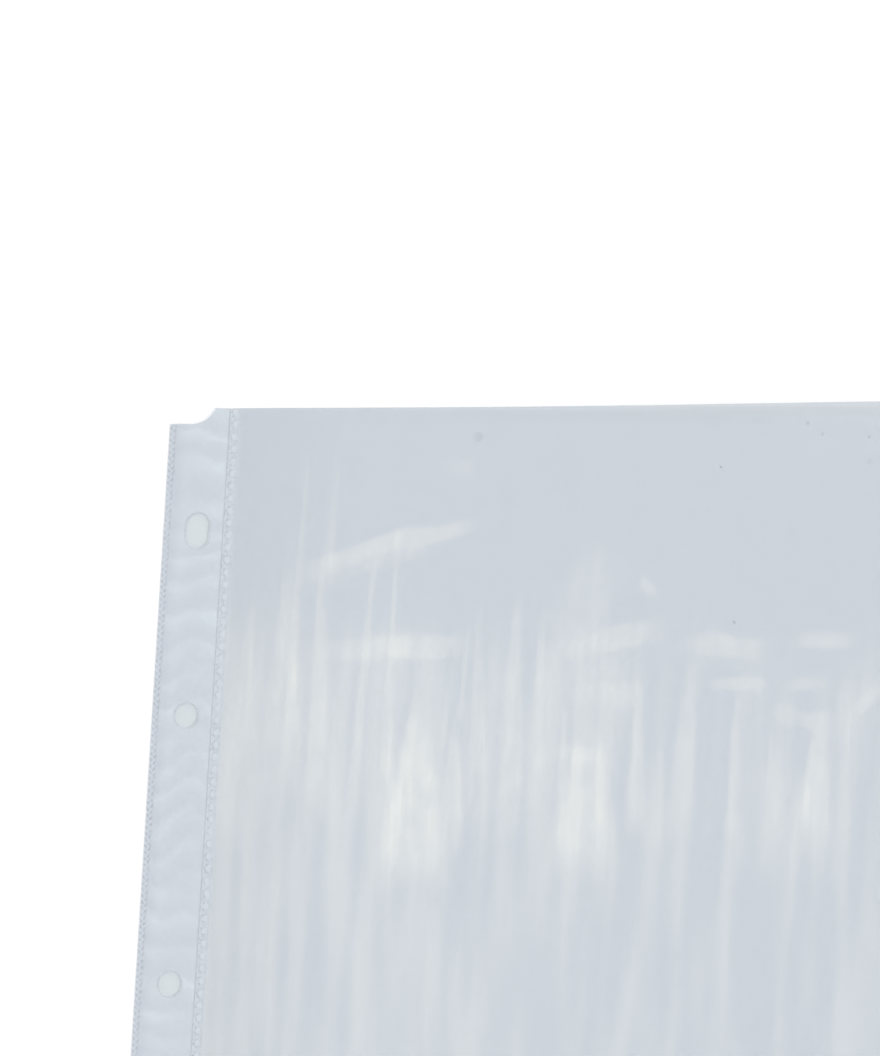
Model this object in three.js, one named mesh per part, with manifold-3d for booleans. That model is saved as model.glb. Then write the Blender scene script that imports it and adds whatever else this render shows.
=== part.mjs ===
// A clear document pocket that is bound on its short side: a punched strip of two plies, hinged by its
// own film to a pocket of two films, which are welded together on three sides and open at the mouth.
// Millimetres. +X runs from the strip to the far edge, +Y from the foot to the mouth, +Z is up.
// The origin is the middle of the underside.

import * as THREE from 'three';
import { mergeVertices } from 'three/addons/utils/BufferGeometryUtils.js';
import Module from 'manifold-3d';

// The sheet that the pocket holds, lying with its short side to the strip
const sheetLength = 297;
const sheetDepth = 210;

// Room round the sheet, and the welds that close the pocket
const sideClearance = 2;
const mouthMargin = 3;
const seamWeldWidth = 2.4;
const farWeldWidth = 2;
const footWeldWidth = 2;

// Films and strip
const filmThickness = 0.2;
const plyThickness = 0.25;
const stripWidth = 15.6;
const outerWeldWidth = 1.8;
const stripSeamWidth = 0.6;
const stripBulge = 0.8;
const stripBulgeSteps = 10;
const hingeGap = 0.4;

// How far the front film stands off the back film at the mouth, and where along the mouth
const crownHeight = 7.5;
const crownPeakShare = 0.64;
const crownColumns = 24;
const crownRows = 14;

// Ring holes: slots at the ends and round holes in the middle, on one line
const middleHoleSpacing = 65;
const endHoleSpacing = 45;
const holeDiameter = 6;
const slotLength = 8.6;
const holeToEdge = 8.9;
const holeSides = 24;

// The cut-away at each end of the strip
const notchDepth = 3.8;
const notchFlat = 5.6;
const notchRadius = 6.6;

// Pads that the seam wheel leaves standing in the pressed seam weld, with flat tops
const padPitch = 3;
const padLength = 2;
const padWidth = 1.7;
const padSides = 8;
const seamPressDepth = 0.09;

// Slanted pits that the edge wheel presses into the outer weld, in two rows
const pitPitch = 1.5;
const pitLength = 1.1;
const pitWidth = 0.45;
const pitSlant = THREE.MathUtils.degToRad(28);
const pitDepth = 0.12;
const pitRows = 2;

// Worked out from the values above
const pocketWidth = seamWeldWidth + sheetLength + 2 * sideClearance + farWeldWidth;
const pocketDepth = footWeldWidth + sheetDepth + mouthMargin;
const overallWidth = stripWidth + pocketWidth;
const hingeX = stripWidth - overallWidth / 2;
const stripLeft = -overallWidth / 2;
const filmLeft = hingeX + hingeGap / 2;
const filmWidth = pocketWidth - hingeGap / 2;
const plyWidth = stripWidth - hingeGap / 2;
const footY = -pocketDepth / 2;
const crownEnd = filmWidth - farWeldWidth;

// A cutting tool reaches this far past what it cuts, and a pit's cutter this much more than its size
const cutMargin = 1;
const pitOvershoot = 0.1;

const wasm = await Module();
wasm.setup();

function solidFrom(geometry) {
  const bare = geometry.clone();
  bare.deleteAttribute('normal');
  bare.deleteAttribute('uv');
  const merged = mergeVertices(bare);
  const mesh = new wasm.Mesh({
    numProp: 3,
    vertProperties: new Float32Array(merged.attributes.position.array),
    triVerts: new Uint32Array(merged.index.array),
  });
  return new wasm.Manifold(mesh);
}

function geometryFrom(solid) {
  const mesh = solid.getMesh();
  const geometry = new THREE.BufferGeometry();
  geometry.setAttribute('position', new THREE.BufferAttribute(mesh.vertProperties, 3));
  geometry.setIndex(new THREE.BufferAttribute(mesh.triVerts, 1));
  geometry.computeVertexNormals();
  return geometry;
}

function evenLines(from, to, steps) {
  return Array.from({ length: steps + 1 }, (_, i) => from + ((to - from) * i) / steps);
}

// A sheet of even thickness over a grid of lines, whose underside rises by lift(x, y)
function curvedSheet(xLines, yLines, thickness, lift) {
  const columns = xLines.length;
  const rows = yLines.length;
  const positions = [];
  const indices = [];
  for (const offset of [0, thickness]) {
    for (const y of yLines) {
      for (const x of xLines) positions.push(x, y, lift(x, y) + offset);
    }
  }
  const at = (face, row, column) => (face * rows + row) * columns + column;
  const quad = (a, b, c, d) => indices.push(a, b, c, a, c, d);
  for (let row = 0; row < rows - 1; row++) {
    for (let column = 0; column < columns - 1; column++) {
      const next = column + 1;
      quad(at(1, row, column), at(1, row, next), at(1, row + 1, next), at(1, row + 1, column));
      quad(at(0, row + 1, column), at(0, row + 1, next), at(0, row, next), at(0, row, column));
    }
    const last = columns - 1;
    quad(at(0, row + 1, 0), at(0, row, 0), at(1, row, 0), at(1, row + 1, 0));
    quad(at(0, row, last), at(0, row + 1, last), at(1, row + 1, last), at(1, row, last));
  }
  for (let column = 0; column < columns - 1; column++) {
    const next = column + 1;
    const last = rows - 1;
    quad(at(0, 0, column), at(0, 0, next), at(1, 0, next), at(1, 0, column));
    quad(at(0, last, next), at(0, last, column), at(1, last, column), at(1, last, next));
  }
  const geometry = new THREE.BufferGeometry();
  geometry.setAttribute('position', new THREE.Float32BufferAttribute(positions, 3));
  geometry.setIndex(indices);
  geometry.computeVertexNormals();
  return geometry;
}

// The strip's outline with both ends cut away and its four ring holes, foot at y = 0, outer edge at x = 0
function stripOutline() {
  const sweep = Math.acos(1 - notchDepth / notchRadius);
  const shape = new THREE.Shape();
  shape.moveTo(plyWidth, 0);
  shape.lineTo(plyWidth, pocketDepth);
  shape.lineTo(notchFlat + notchRadius * Math.sin(sweep), pocketDepth);
  const topCentre = pocketDepth - notchDepth + notchRadius;
  shape.absarc(notchFlat, topCentre, notchRadius, sweep - Math.PI / 2, -Math.PI / 2, true);
  shape.lineTo(0, pocketDepth - notchDepth);
  shape.lineTo(0, notchDepth);
  shape.lineTo(notchFlat, notchDepth);
  shape.absarc(notchFlat, notchDepth - notchRadius, notchRadius, Math.PI / 2, Math.PI / 2 - sweep, true);
  shape.closePath();
  for (const hole of ringHoles()) shape.holes.push(holePath(hole));
  return shape;
}

function ringHoles() {
  const inner = middleHoleSpacing / 2;
  const outer = inner + endHoleSpacing;
  return [
    { y: pocketDepth / 2 - outer, length: slotLength },
    { y: pocketDepth / 2 - inner, length: holeDiameter },
    { y: pocketDepth / 2 + inner, length: holeDiameter },
    { y: pocketDepth / 2 + outer, length: slotLength },
  ];
}

function holePath({ y, length }) {
  const radius = holeDiameter / 2;
  const reach = (length - holeDiameter) / 2;
  const path = new THREE.Path();
  path.absarc(holeToEdge, y + reach, radius, 0, Math.PI, false);
  path.absarc(holeToEdge, y - reach, radius, Math.PI, 2 * Math.PI, false);
  path.closePath();
  return path;
}

function extrude(shape, depth) {
  return new THREE.ExtrudeGeometry(shape, {
    depth,
    bevelEnabled: false,
    curveSegments: holeSides / 2,
  });
}

function stripBackPly() {
  return extrude(stripOutline(), plyThickness);
}

// The front ply bows up between its two welds
function stripFrontPly() {
  const bowStart = outerWeldWidth;
  const bowEnd = plyWidth - stripSeamWidth;
  const bow = (x) => {
    const share = THREE.MathUtils.clamp((x - bowStart) / (bowEnd - bowStart), 0, 1);
    return stripBulge * Math.sin(Math.PI * share) ** 2;
  };
  const xLines = [-cutMargin, ...evenLines(bowStart, bowEnd, stripBulgeSteps), plyWidth + cutMargin];
  const sheet = curvedSheet(xLines, [-cutMargin, pocketDepth + cutMargin], plyThickness, bow);
  const outline = extrude(stripOutline(), plyThickness + stripBulge + 2 * cutMargin);
  outline.translate(0, 0, -cutMargin);
  return geometryFrom(solidFrom(sheet).intersect(solidFrom(outline)).subtract(edgePits()));
}

// Two rows of slanted pits, each a pyramid point down, the second row half a pitch along from the first
function edgePits() {
  const pits = [];
  const run = pocketDepth - 2 * notchDepth - pitLength;
  const rowSpacing = outerWeldWidth / pitRows;
  const count = Math.floor(run / pitPitch);
  for (let row = 0; row < pitRows; row++) {
    for (let i = 0; i < count; i++) {
      const pit = new THREE.ConeGeometry(Math.SQRT1_2, 1, 4, 1);
      pit.rotateX(-Math.PI / 2);
      pit.rotateZ(Math.PI / 4);
      pit.translate(0, 0, -1 / 2);
      pit.scale(pitWidth, pitLength, pitDepth);
      pit.scale(1 + pitOvershoot, 1 + pitOvershoot, 1 + pitOvershoot);
      pit.rotateZ(row % 2 ? -pitSlant : pitSlant);
      const x = rowSpacing * (row + 1 / 2);
      const y = pocketDepth / 2 + (i - (count - 1) / 2 + (row % 2) / 2 - 1 / 4) * pitPitch;
      pit.translate(x, y, plyThickness + pitOvershoot * pitDepth);
      pits.push(solidFrom(pit));
    }
  }
  return wasm.Manifold.union(pits);
}

function backFilm() {
  const shape = new THREE.Shape();
  shape.moveTo(0, 0);
  shape.lineTo(filmWidth, 0);
  shape.lineTo(filmWidth, pocketDepth);
  shape.lineTo(0, pocketDepth);
  shape.closePath();
  return extrude(shape, filmThickness);
}

// How far the front film stands off the back film: nothing along the welds, most at the mouth
function crown(x, y) {
  const across = THREE.MathUtils.clamp((x - seamWeldWidth) / (crownEnd - seamWeldWidth), 0, 1);
  const up = THREE.MathUtils.clamp((y - footWeldWidth) / (pocketDepth - footWeldWidth), 0, 1);
  const skew = Math.log(1 / 2) / Math.log(crownPeakShare);
  const arch = Math.sin(Math.PI * across ** skew) ** 2;
  const rise = Math.sin((Math.PI / 2) * up) ** 2;
  return crownHeight * arch * rise;
}

function frontFilm() {
  const xLines = [0, ...evenLines(seamWeldWidth, crownEnd, crownColumns), filmWidth];
  const yLines = [0, ...evenLines(footWeldWidth, pocketDepth, crownRows)];
  const sheet = curvedSheet(xLines, yLines, filmThickness, crown);
  return geometryFrom(solidFrom(sheet).subtract(seamPress()));
}

// What the seam wheel presses away: a shallow band along the seam weld, around the pads
function seamPress() {
  const height = cutMargin + seamPressDepth;
  const floor = filmThickness - seamPressDepth;
  const band = new THREE.BoxGeometry(cutMargin + seamWeldWidth, pocketDepth + 2 * cutMargin, height);
  band.translate((seamWeldWidth - cutMargin) / 2, pocketDepth / 2, floor + height / 2);
  const pads = [];
  const count = Math.floor(pocketDepth / padPitch);
  const padHeight = 2 * (seamPressDepth + cutMargin);
  for (let i = 0; i < count; i++) {
    const pad = new THREE.CylinderGeometry(1 / 2, 1 / 2, padHeight, padSides);
    pad.rotateX(Math.PI / 2);
    pad.rotateZ(Math.PI / padSides);
    pad.scale(padWidth, padLength, 1);
    const along = (i - (count - 1) / 2) * padPitch;
    pad.translate(seamWeldWidth / 2, pocketDepth / 2 + along, filmThickness);
    pads.push(solidFrom(pad));
  }
  return solidFrom(band).subtract(wasm.Manifold.union(pads));
}

// Clear polypropylene with a faint blue-grey haze; the strip is milkier
const filmFinish = { color: 0xccd3da, roughness: 0.28, metalness: 0, transparent: true, opacity: 0.45 };
const stripFinish = { color: 0xd5dbe0, roughness: 0.34, metalness: 0, transparent: true, opacity: 0.6 };

function piece(name, geometry, finish, x, z) {
  const mesh = new THREE.Mesh(geometry, new THREE.MeshStandardMaterial(finish));
  mesh.name = name;
  mesh.position.set(x, footY, z);
  return mesh;
}

const strip = new THREE.Group();
strip.add(piece('strip_back_ply', stripBackPly(), stripFinish, stripLeft, 0));
strip.add(piece('strip_front_ply', stripFrontPly(), stripFinish, stripLeft, plyThickness));

const pocket = new THREE.Group();
pocket.add(piece('back_film', backFilm(), filmFinish, filmLeft, 0));
pocket.add(piece('front_film', frontFilm(), filmFinish, filmLeft, filmThickness));

const group = new THREE.Group();
group.add(strip, pocket);

export default group;
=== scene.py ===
import math
import random
from typing import NamedTuple

import bmesh
import bpy
from bpy.props import FloatProperty, FloatVectorProperty, IntProperty, PointerProperty
from mathutils import Euler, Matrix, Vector, noise


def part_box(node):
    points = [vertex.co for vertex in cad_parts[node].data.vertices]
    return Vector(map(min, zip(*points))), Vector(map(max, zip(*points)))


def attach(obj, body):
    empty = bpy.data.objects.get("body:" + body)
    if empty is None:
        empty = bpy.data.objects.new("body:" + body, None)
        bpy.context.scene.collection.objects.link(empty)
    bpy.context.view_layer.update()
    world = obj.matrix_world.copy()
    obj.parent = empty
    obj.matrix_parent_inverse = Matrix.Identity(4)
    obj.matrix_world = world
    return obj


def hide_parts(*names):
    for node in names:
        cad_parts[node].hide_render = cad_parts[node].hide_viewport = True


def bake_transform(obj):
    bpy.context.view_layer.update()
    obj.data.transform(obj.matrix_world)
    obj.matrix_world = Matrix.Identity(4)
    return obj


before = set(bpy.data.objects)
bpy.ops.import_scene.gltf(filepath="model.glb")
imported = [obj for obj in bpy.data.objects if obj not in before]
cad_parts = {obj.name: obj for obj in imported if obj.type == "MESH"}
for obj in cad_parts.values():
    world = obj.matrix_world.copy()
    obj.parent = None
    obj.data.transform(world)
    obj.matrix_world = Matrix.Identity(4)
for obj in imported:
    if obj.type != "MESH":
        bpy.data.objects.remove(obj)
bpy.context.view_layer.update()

bl_info = {
    "name": "Document pocket",
    "version": (1, 0, 0),
    "blender": (4, 5, 0),
    "location": "3D View > Sidebar > Pocket",
    "description": "A clear punched document pocket: welded films, knurled welds and a two-ply binding strip",
    "category": "Object",
}

MM = 0.001

# Where the construction model has its pieces, at rest
BACK_PLY_LOW, BACK_PLY_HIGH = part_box("strip_back_ply")
FRONT_PLY_LOW, FRONT_PLY_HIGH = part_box("strip_front_ply")
BACK_FILM_LOW, BACK_FILM_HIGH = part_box("back_film")
FRONT_FILM_LOW, FRONT_FILM_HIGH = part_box("front_film")
FOOT_Y = BACK_FILM_LOW.y
MOUTH_Y = BACK_FILM_HIGH.y
STRIP_LEFT = BACK_PLY_LOW.x
FAR_X = BACK_FILM_HIGH.x
SEAM_X = (BACK_PLY_HIGH.x + BACK_FILM_LOW.x) / 2
FILM_THICKNESS = BACK_FILM_HIGH.z - BACK_FILM_LOW.z
PLY_THICKNESS = BACK_PLY_HIGH.z - BACK_PLY_LOW.z

# Room kept between a modelled skin and what it lies on, and between two skins end to end
SKIN_GAP = 0.02 * MM
END_GAP = 0.01 * MM

# The vertex attribute that says how strongly a place of a film is marked with painted highlight or painted
# shade, from 0 to 1
MARK = "mark"


class Grain(NamedTuple):
    """Smooth noise over a film: its size across and along the seam, in millimetres, and its seed"""

    across: float
    along: float
    seed: float


class Crease(NamedTuple):
    """A soft ridge in the front film, in millimetres, narrowing from its foot to its tip.

    sheen is how much painted highlight its face carries, standing in for the lamps' reflection on it, from 0
    to 1, and taper the share of its width lost at the tip.
    """

    foot: tuple
    tip: tuple
    width: float
    height: float
    sheen: float
    taper: float = 0.85


# How the creases waver across and along the strip, and how their painted sheen varies
CREASE_SWAY = Grain(14, 26, 2.4)
CREASE_SLIP = Grain(11, 9, 7.7)
SHEEN_CLOUDS = Grain(3.5, 5, 9.9)
SHEEN_STREAKS = Grain(1.4, 9, 4.1)

# The ripples of the film's lower half: where they end, how they drift, their three sizes, and how the painted
# sheen over them wanders
STREAK_END = Grain(12, 200, 6.6)
RIPPLE_DRIFT = Grain(24, 40, 1.3)
BROAD_RIPPLES = Grain(7, 42, 3.1)
FINE_RIPPLES = Grain(2.6, 32, 8.7)
SWAYING_RIPPLES = Grain(32, 11, 5.9)
STREAK_SHEEN_WANDER = Grain(4, 30, 4.4)

# The ripples across the strip: how they drift, and how their strength varies
STRIP_DRIFT = Grain(11, 17, 5.3)
STRIP_STRENGTH = Grain(14, 9, 8.1)

# Puckers that the cooling seam draws in the film beside it, each with a painted highlight on it
SEAM_PUCKERS = (
    Crease((-136.0, -2.0), (-135.0, 50.0), 22.0, 0.03, 0.16, 0.4),
    Crease((-137.0, 16.0), (-136.4, 66.0), 8.0, 0.04, 0.26),
    Crease((-133.6, 22.0), (-134.2, 52.0), 2.2, 0.02, 0.22),
    Crease((-126.0, 10.0), (-127.4, 80.0), 15.0, 0.06, 0.31),
    Crease((-129.4, 20.0), (-127.0, 60.0), 2.4, 0.02, 0.26),
    Crease((-121.0, 20.0), (-126.0, 56.0), 2.4, 0.02, 0.26),
    Crease((-116.0, 0.0), (-118.8, 78.0), 9.0, 0.05, 0.29),
    Crease((-112.0, 0.0), (-113.6, 44.0), 3.0, 0.02, 0.20),
    Crease((-107.4, 0.0), (-104.4, 86.0), 4.4, 0.03, 0.34),
    Crease((-99.0, 0.0), (-99.6, 88.0), 3.8, 0.03, 0.31),
    Crease((-124.6, 50.0), (-124.2, 106.0), 3.4, 0.02, 0.17),
    Crease((-117.6, 54.0), (-116.0, 106.0), 5.0, 0.02, 0.15),
)

# Flames that rise from the film's lower half, where a sheet inside has pressed it, each with a painted
# highlight on it
FLAMES = (
    Crease((-90.8, -10.0), (-91.0, 40.0), 25.0, 0.08, 0.80),
    Crease((-97.6, 0.0), (-98.2, 38.0), 4.0, 0.03, 0.34),
    Crease((-84.4, 6.0), (-84.2, 43.0), 4.4, 0.03, 0.34),
    Crease((-81.0, -2.0), (-81.8, 35.0), 9.0, 0.05, 0.44),
    Crease((-80.2, 30.0), (-80.0, 56.0), 2.6, 0.02, 0.30),
    Crease((-74.6, 0.0), (-77.2, 66.0), 7.0, 0.04, 0.32),
    Crease((-67.0, 0.0), (-67.2, 70.0), 9.0, 0.05, 0.34),
    Crease((-60.0, 0.0), (-61.0, 66.0), 5.4, 0.04, 0.34),
    Crease((-53.6, 0.0), (-54.0, 40.0), 4.0, 0.03, 0.28),
    Crease((-55.0, 0.0), (-48.0, 86.0), 36.0, 0.03, 0.12),
    Crease((-47.4, -8.0), (-47.0, 37.0), 25.0, 0.06, 0.52),
    Crease((-34.0, 0.0), (-35.0, 42.0), 8.0, 0.04, 0.34),
    Crease((-28.4, 0.0), (-28.6, 34.0), 4.0, 0.03, 0.24),
    Crease((-22.6, 0.0), (-23.0, 52.0), 9.0, 0.04, 0.30),
    Crease((-9.8, 0.0), (-9.6, 45.0), 4.6, 0.04, 0.36),
    Crease((1.0, 0.0), (0.0, 36.0), 7.0, 0.04, 0.26),
    Crease((10.6, 0.0), (11.0, 37.0), 12.0, 0.05, 0.44),
    Crease((2.0, -8.0), (2.0, 30.0), 34.0, 0.02, 0.13, 0.3),
    Crease((18.5, 0.0), (18.6, 44.0), 4.0, 0.04, 0.31),
)

# Creases left by handling, each with a painted highlight on it
SMEARS = (
    Crease((-76.6, 79.4), (-103.6, 74.3), 4.2, 0.04, 0.24, -0.3),
    Crease((-92.9, 77.5), (-128.5, 65.8), 5.0, 0.04, 0.26, -0.3),
    Crease((-86.0, 78.0), (-127.0, 64.0), 8.0, 0.03, 0.14, -0.3),
    Crease((-77.0, 50.2), (-121.0, 48.4), 7.5, 0.06, 0.34, 0.2),
    Crease((-93.0, 50.4), (-103.0, 50.0), 7.5, 0.03, 0.24, 0.2),
    Crease((-27.0, 55.2), (-61.0, 47.4), 6.5, 0.05, 0.32, 0.2),
    Crease((0.0, 48.6), (-27.0, 50.8), 6.5, 0.04, 0.30, 0.2),
    Crease((-13.0, 49.6), (-18.6, 54.6), 5.0, 0.03, 0.24, 0.5),
    Crease((21.0, 51.4), (2.0, 50.2), 5.4, 0.04, 0.38, 0.3),
    Crease((-1.0, 40.4), (-19.0, 41.6), 4.6, 0.04, 0.34, 0.3),
    Crease((13.0, 40.4), (2.0, 40.8), 4.0, 0.03, 0.26, 0.3),
    Crease((16.0, 30.4), (-3.0, 35.4), 6.5, 0.05, 0.27, 0.3),
    Crease((28.0, 41.4), (16.4, 31.0), 4.4, 0.04, 0.30, 0.3),
    Crease((-32.0, 61.2), (-36.6, 66.0), 3.4, 0.02, 0.36, 0.3),
    Crease((-61.0, 46.0), (-38.0, 80.0), 20.0, 0.02, 0.07, 0.4),
    Crease((-31.0, 38.6), (-56.0, 37.6), 7.0, 0.03, 0.24, 0.2),
    Crease((-40.0, 24.6), (-60.0, 24.0), 4.0, 0.03, 0.26, 0.2),
    Crease((-79.0, 92.6), (-91.0, 92.0), 3.4, 0.01, 0.16, 0.2),
)

# Dust on the front film: each speck's X, Y and radius in millimetres, and how dense it is
SPECKS = (
    (-11.5, 55.3, 0.5, 0.6),
    (-16.9, 92.4, 0.32, 0.6),
    (-80.0, 100.3, 2.2, 0.07),
    (4.9, 102.6, 0.9, 0.09),
    (8.7, 99.9, 0.7, 0.12),
    (20.7, 99.1, 0.7, 0.12),
    (21.0, 93.3, 1.4, 0.06),
)


def size_setting(name, description, millimetres):
    """A length that a user can change"""
    return FloatProperty(name=name, description=description, default=millimetres * MM, unit="LENGTH")


def colour_setting(name, description, default):
    """A colour that a user can change"""
    return FloatVectorProperty(
        name=name, description=description, default=default, subtype="COLOR", min=0, max=1
    )


class PocketFilmShape(bpy.types.PropertyGroup):
    """How the two films of the pocket lie"""

    seam_weld_width: size_setting("Seam weld", "Width of the weld beside the strip", 2.4)
    far_weld_width: size_setting("Far weld", "Width of the weld at the far edge", 2.0)
    foot_weld_width: size_setting("Foot weld", "Width of the weld along the foot", 2.0)
    crown_height: FloatProperty(
        name="Crown",
        description="How far the front film stands off the back film at the mouth",
        default=FRONT_FILM_HIGH.z - FRONT_FILM_LOW.z - FILM_THICKNESS,
        unit="LENGTH",
    )
    crown_peak_share: FloatProperty(
        name="Crown peak", description="Where along the mouth the crown is highest",
        default=0.64, min=0, max=1,
    )
    fine_grid: size_setting("Fine grid", "Spacing of the front film's grid at its puckers", 0.6)
    coarse_grid: size_setting("Coarse grid", "Spacing of its grid where it is smooth", 3.0)


class StripShape(bpy.types.PropertyGroup):
    """The punched binding strip and its upper ply"""

    outer_weld_width: size_setting("Outer weld", "Width of the weld along the outer edge", 1.8)
    seam_width: size_setting("Inner weld", "Width held down beside the seam", 0.6)
    bow: FloatProperty(
        name="Bow",
        description="How far the upper ply stands off the lower one",
        default=FRONT_PLY_HIGH.z - FRONT_PLY_LOW.z - PLY_THICKNESS,
        unit="LENGTH",
    )
    hole_diameter: size_setting("Hole", "Diameter of a ring hole", 6.0)
    slot_length: size_setting("Slot", "Length of an end hole", 8.6)
    hole_to_edge: size_setting("Hole to edge", "Outer edge to the holes' line", 8.9)
    middle_spacing: size_setting("Middle spacing", "Between the round holes", 65.0)
    end_spacing: size_setting("End spacing", "Round hole to slot", 45.0)
    notch_depth: size_setting("Notch depth", "Depth of the cut-away at each end", 3.8)
    notch_flat: size_setting("Notch flat", "Straight part of the cut-away", 5.6)
    notch_radius: size_setting("Notch radius", "Radius that ends the cut-away", 6.6)
    ripple_pitch: size_setting("Ripple pitch", "Spacing of the ripples across the strip", 7.4)
    ripple_height: size_setting("Ripple height", "Height of those ripples", 0.10)
    pucker_seed: IntProperty(
        name="Pucker seed", description="Seed of the small puckers beside the seam", default=7
    )


class WeldShape(bpy.types.PropertyGroup):
    """What the welding wheels press into the two weld bands"""

    pad_pitch: size_setting("Pad pitch", "Spacing of the pads in the seam weld", 3.0)
    pad_length: size_setting("Pad length", "Length of a pad along the seam", 2.0)
    pad_width: size_setting("Pad width", "Width of a pad across the seam", 1.7)
    press_depth: size_setting("Press depth", "How far the seam is pressed round its pads", 0.09)
    pit_pitch: size_setting("Pit pitch", "Spacing of the pits in the outer weld", 1.5)
    pit_length: size_setting("Pit length", "Length of a pit", 1.1)
    pit_width: size_setting("Pit width", "Width of a pit", 0.45)
    pit_depth: size_setting("Pit depth", "Depth of a pit", 0.12)
    pit_slant: FloatProperty(
        name="Pit slant", description="Turn of a pit from the edge", default=math.radians(28), subtype="ANGLE"
    )


class FilmFinish(bpy.types.PropertyGroup):
    """Colours of the clear film, the milkier strip and the welds"""

    film_tint: colour_setting("Film tint", "What one face of a film lets through", (0.937, 0.946, 0.956))
    film_haze: colour_setting("Film haze", "Colour of the haze in the film", (0.66, 0.71, 0.76))
    strip_tint: colour_setting(
        "Strip tint", "What one face of a strip ply lets through", (0.980, 0.981, 0.987)
    )
    strip_haze: colour_setting("Strip haze", "Colour of the haze in the strip", (0.72, 0.83, 0.99))
    strip_crest: colour_setting(
        "Strip crest", "Colour of the strip where a ripple catches the light", (0.86, 0.94, 1.0)
    )
    weld_tint: colour_setting(
        "Weld tint", "What one face of the seam weld lets through", (0.955, 0.964, 0.974)
    )
    # Painted shade: the dark grey laid in the welds' pits, round their pads and along their folds, where the
    # pressed relief would shade
    weld_painted_shade: colour_setting("Weld mark", "Colour of the pressed lines in a weld", (0.36, 0.40, 0.44))
    # Dark grey laid as painted shade on the films' cut edges, along the mouth and round the ring holes, and
    # also the colour of the dust
    edge_shade_and_dust: colour_setting("Cut edge", "Colour of a film's cut edge", (0.42, 0.47, 0.50))
    # Painted highlight: the warm colour of the creases' and ripples' painted sheen, standing in for
    # reflections of the lamps
    painted_sheen: colour_setting("Worn", "Colour of the film where creases have worn it", (0.94, 0.96, 0.89))


class StageSettings(bpy.types.PropertyGroup):
    """Floor, lamps and camera"""

    floor_size: FloatProperty(
        name="Floor", description="Side of the floor", default=60.0, unit="LENGTH"
    )
    lens: FloatProperty(name="Lens", description="Focal length in millimetres", default=356.4)
    camera_distance: FloatProperty(
        name="Distance", description="Camera to what it looks at", default=2.5, unit="LENGTH"
    )
    key_strength: FloatProperty(name="Key", description="Strength of the key lamp", default=0.6)
    window_strength: FloatProperty(
        name="Window", description="Brightness of the window that glossy faces show", default=2.6
    )
    sky_strength: FloatProperty(name="Sky", description="Strength of the light from all round", default=0.86)
    table_grey: colour_setting(
        "Table grey", "What the floor looks like under the strip, in its ring holes", (0.71, 0.757, 0.786)
    )


# Meshes

def cosine_bump(value):
    """1 at 0, falling smoothly to 0 at 1 and beyond"""
    return math.cos(math.pi / 2 * min(abs(value), 1)) ** 2


def smooth_step(value, low, high):
    """0 up to low, 1 from high on, and smooth between"""
    share = min(max((value - low) / (high - low), 0), 1)
    return share * share * (3 - 2 * share)


def even_lines(low, high, step):
    """Grid lines from low to high, about a step apart"""
    count = max(1, round((high - low) / step))
    return [low + (high - low) * i / count for i in range(count + 1)]


def film_noise(x, y, grain):
    """Smooth noise from -1 to 1 over a film"""
    return noise.noise(Vector((x / (grain.across * MM), y / (grain.along * MM), grain.seed)))


def edge_noise(y, length, seed, row=0):
    """Smooth noise from -1 to 1 along an edge, of a length in millimetres"""
    return noise.noise(Vector((row, y / (length * MM), seed)))


def sheet_mesh(name, x_lines, y_lines, under, thickness, mark):
    """A closed skin: its underside at under(x, y), thickness(x, y) thick, with mark(x, y) on both faces"""
    bm = bmesh.new()
    layer = bm.verts.layers.float.new(MARK)
    bmesh.ops.create_grid(bm, x_segments=len(x_lines) - 1, y_segments=len(y_lines) - 1, size=0.5)
    for vert in bm.verts:
        x = x_lines[round((vert.co.x + 0.5) * (len(x_lines) - 1))]
        y = y_lines[round((vert.co.y + 0.5) * (len(y_lines) - 1))]
        vert.co = (x, y, under(x, y))
        vert[layer] = mark(x, y)
    made = bmesh.ops.extrude_face_region(bm, geom=bm.faces[:], use_keep_orig=True)
    for vert in made["geom"]:
        if isinstance(vert, bmesh.types.BMVert):
            vert.co.z += thickness(vert.co.x, vert.co.y)
    bmesh.ops.recalc_face_normals(bm, faces=bm.faces[:])
    return finished_mesh(bm, name)


def open_joint(mesh, joint_x):
    """Takes away a skin's end wall at joint_x, where the film runs on into the next piece"""
    bm = bmesh.new()
    bm.from_mesh(mesh)
    near = 0.002 * MM
    walls = [face for face in bm.faces if all(abs(vert.co.x - joint_x) < near for vert in face.verts)]
    bmesh.ops.delete(bm, geom=walls, context="FACES_ONLY")
    bm.to_mesh(mesh)
    bm.free()


def finished_mesh(bm, name, sharp_angle=math.radians(50)):
    """The bmesh as a mesh: shaded smooth, with its rims and steps kept sharp"""
    for face in bm.faces:
        face.smooth = True
    for edge in bm.edges:
        edge.smooth = len(edge.link_faces) == 2 and edge.calc_face_angle(0) < sharp_angle
    mesh = bpy.data.meshes.new(name)
    bm.to_mesh(mesh)
    bm.free()
    return mesh


def add_piece(name, mesh, material, replaced):
    """A piece of the visual model, which stands for the construction node that it replaces"""
    piece = bpy.data.objects.new(name, mesh)
    bpy.context.scene.collection.objects.link(piece)
    piece.data.materials.append(material)
    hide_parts(replaced)
    return piece


def dress_node(node, material):
    """Gives a construction node its finish"""
    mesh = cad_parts[node].data
    mesh.materials.clear()
    mesh.materials.append(material)


# The front film

def crown(x, y, shape):
    """How far the front film stands off the back film: nothing along the welds, most at the mouth"""
    start = BACK_FILM_LOW.x + shape.seam_weld_width
    end = FAR_X - shape.far_weld_width
    foot = FOOT_Y + shape.foot_weld_width
    across = min(max((x - start) / (end - start), 0), 1)
    up = min(max((y - foot) / (MOUTH_Y - foot), 0), 1)
    skew = math.log(1 / 2) / math.log(shape.crown_peak_share)
    arch = math.sin(math.pi * across**skew) ** 2
    rise = math.sin(math.pi / 2 * up) ** 2
    return shape.crown_height * arch * rise


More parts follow.
